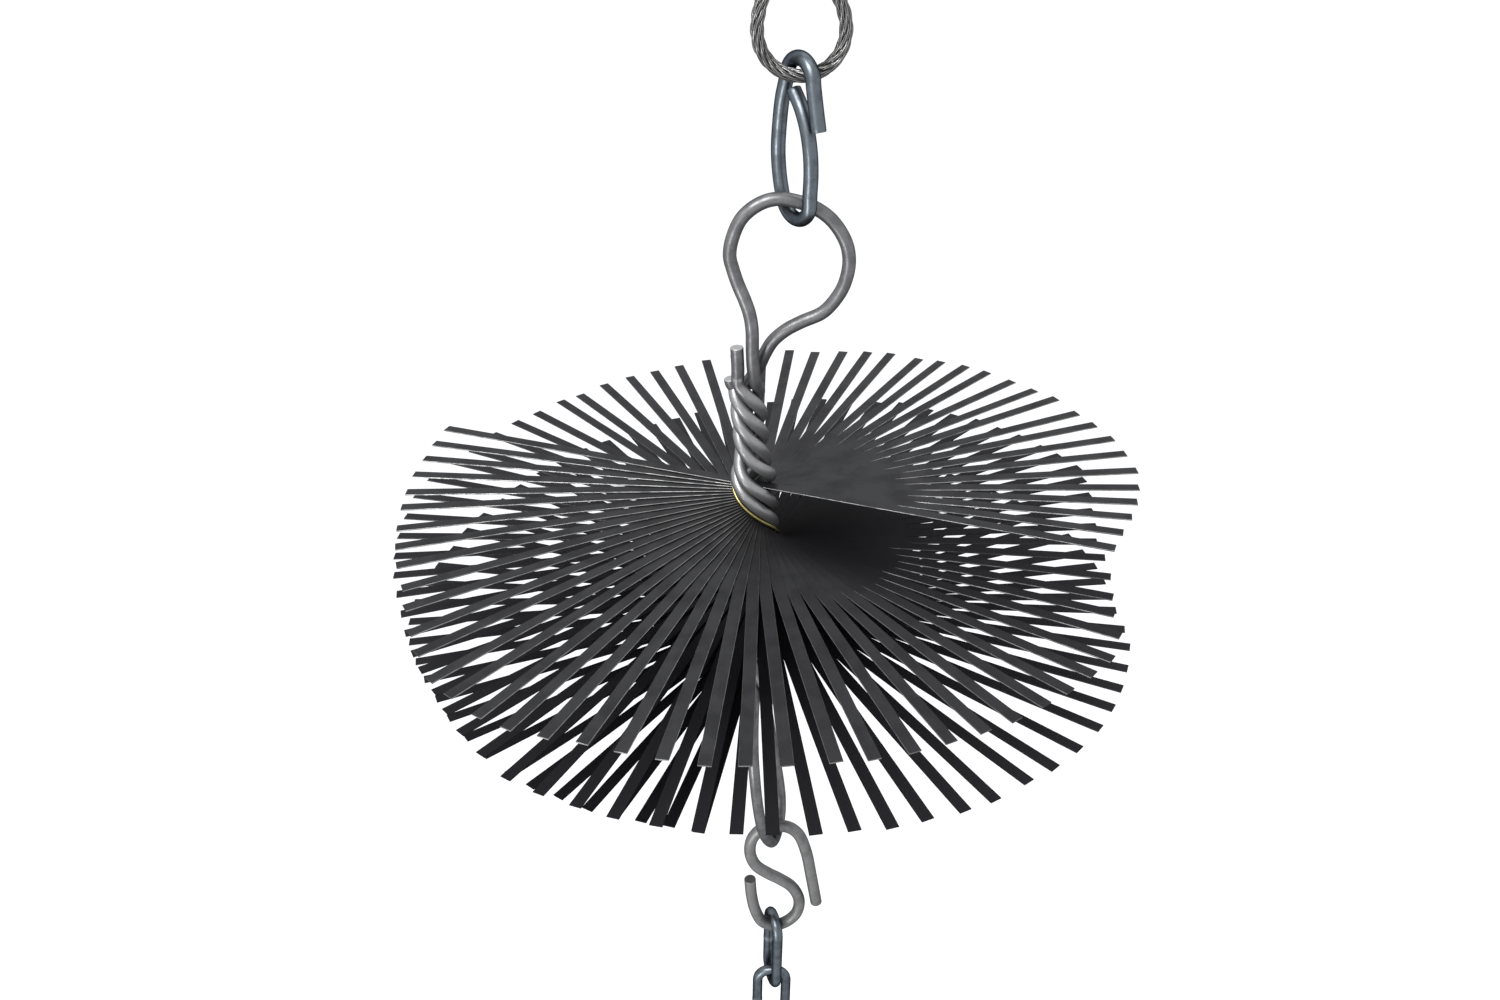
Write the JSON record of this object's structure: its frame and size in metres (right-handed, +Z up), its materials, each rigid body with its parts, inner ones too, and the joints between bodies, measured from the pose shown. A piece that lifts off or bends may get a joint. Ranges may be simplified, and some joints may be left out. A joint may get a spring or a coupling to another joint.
{
  "type": "chimney sweep brush",
  "caption": "Drop brush for flues: a fan of flat spring-steel strips held in a twisted wire core, hung from a wire rope, with an S-hook and chain below for a drop weight.",
  "frame": {"origin": "centre of the cut top end of the wire rope, on the plumb line that every piece hangs on", "axes": "+Z up along the taut rope; +X to the right seen from the front, along +Y; the rope eye lies in the XZ plane"},
  "size_m": [0.2545, 0.2491, 0.4882],
  "materials": {
    "stranded_rope": "bright stranded wire rope",
    "pressed_alloy": "pressed, dull",
    "galvanised_wire": "galvanised, satin",
    "core_wire": "drawn wire with tool marks",
    "spring_steel": "blackened spring steel strip, sheared ends",
    "brass_packing": "bright thin wire",
    "matt_zinc": "matt zinc coating",
    "chain_steel": "galvanised, satin"
  },
  "bodies": {
    "rope": {"wire_rope": "stranded_rope", "rope_ferrule": "pressed_alloy"},
    "hook": {"hook_link": "galvanised_wire"},
    "brush": {"top_loop_wire": "core_wire", "bottom_loop_wire": "core_wire", "packing_wire": "brass_packing", "strip_pair_01": "spring_steel", "strip_pair_02": "spring_steel", "strip_pair_03": "spring_steel", "strip_pair_04": "spring_steel", "strip_pair_05": "spring_steel", "strip_pair_06": "spring_steel", "strip_pair_07": "spring_steel", "strip_pair_08": "spring_steel", "strip_pair_09": "spring_steel", "strip_pair_10": "spring_steel", "strip_pair_11": "spring_steel", "strip_pair_12": "spring_steel", "strip_pair_13": "spring_steel", "strip_pair_14": "spring_steel", "strip_pair_15": "spring_steel", "strip_pair_16": "spring_steel", "strip_pair_17": "spring_steel", "strip_pair_18": "spring_steel", "strip_pair_19": "spring_steel", "strip_pair_20": "spring_steel", "strip_pair_21": "spring_steel", "strip_pair_22": "spring_steel", "strip_pair_23": "spring_steel", "strip_pair_24": "spring_steel", "strip_pair_25": "spring_steel", "strip_pair_26": "spring_steel", "strip_pair_27": "spring_steel", "strip_pair_28": "spring_steel", "strip_pair_29": "spring_steel", "strip_pair_30": "spring_steel", "strip_pair_31": "spring_steel", "strip_pair_32": "spring_steel", "strip_pair_33": "spring_steel", "strip_pair_34": "spring_steel", "strip_pair_35": "spring_steel", "strip_pair_36": "spring_steel"},
    "s_hook": {"s_hook": "matt_zinc"},
    "upper_link": {"chain_link_upper": "chain_steel"},
    "lower_link": {"chain_link_lower": "chain_steel"}
  },
  "joints": [
    {"name": "hook_swing", "type": "hinge", "parent": "rope", "child": "hook", "pos_m": [0, 0, -0.0662], "axis": [1, 0, 0], "range_deg": [-30, 30]},
    {"name": "brush_swing", "type": "hinge", "parent": "hook", "child": "brush", "pos_m": [0, 0, -0.1025], "axis": [0.9703, 0, -0.2419], "range_deg": [-45, 45]},
    {"name": "s_hook_swing", "type": "hinge", "parent": "brush", "child": "s_hook", "pos_m": [0, 0, -0.36522], "axis": [0.2588, 0.9659, 0], "range_deg": [-60, 60]},
    {"name": "upper_link_swing", "type": "hinge", "parent": "s_hook", "child": "upper_link", "pos_m": [0, 0, -0.41862], "axis": [1, 0, 0], "range_deg": [-40, 40]},
    {"name": "lower_link_swing", "type": "hinge", "parent": "upper_link", "child": "lower_link", "pos_m": [0, 0, -0.45227], "axis": [0.2924, -0.9563, 0], "range_deg": [-40, 40]}
  ]
}
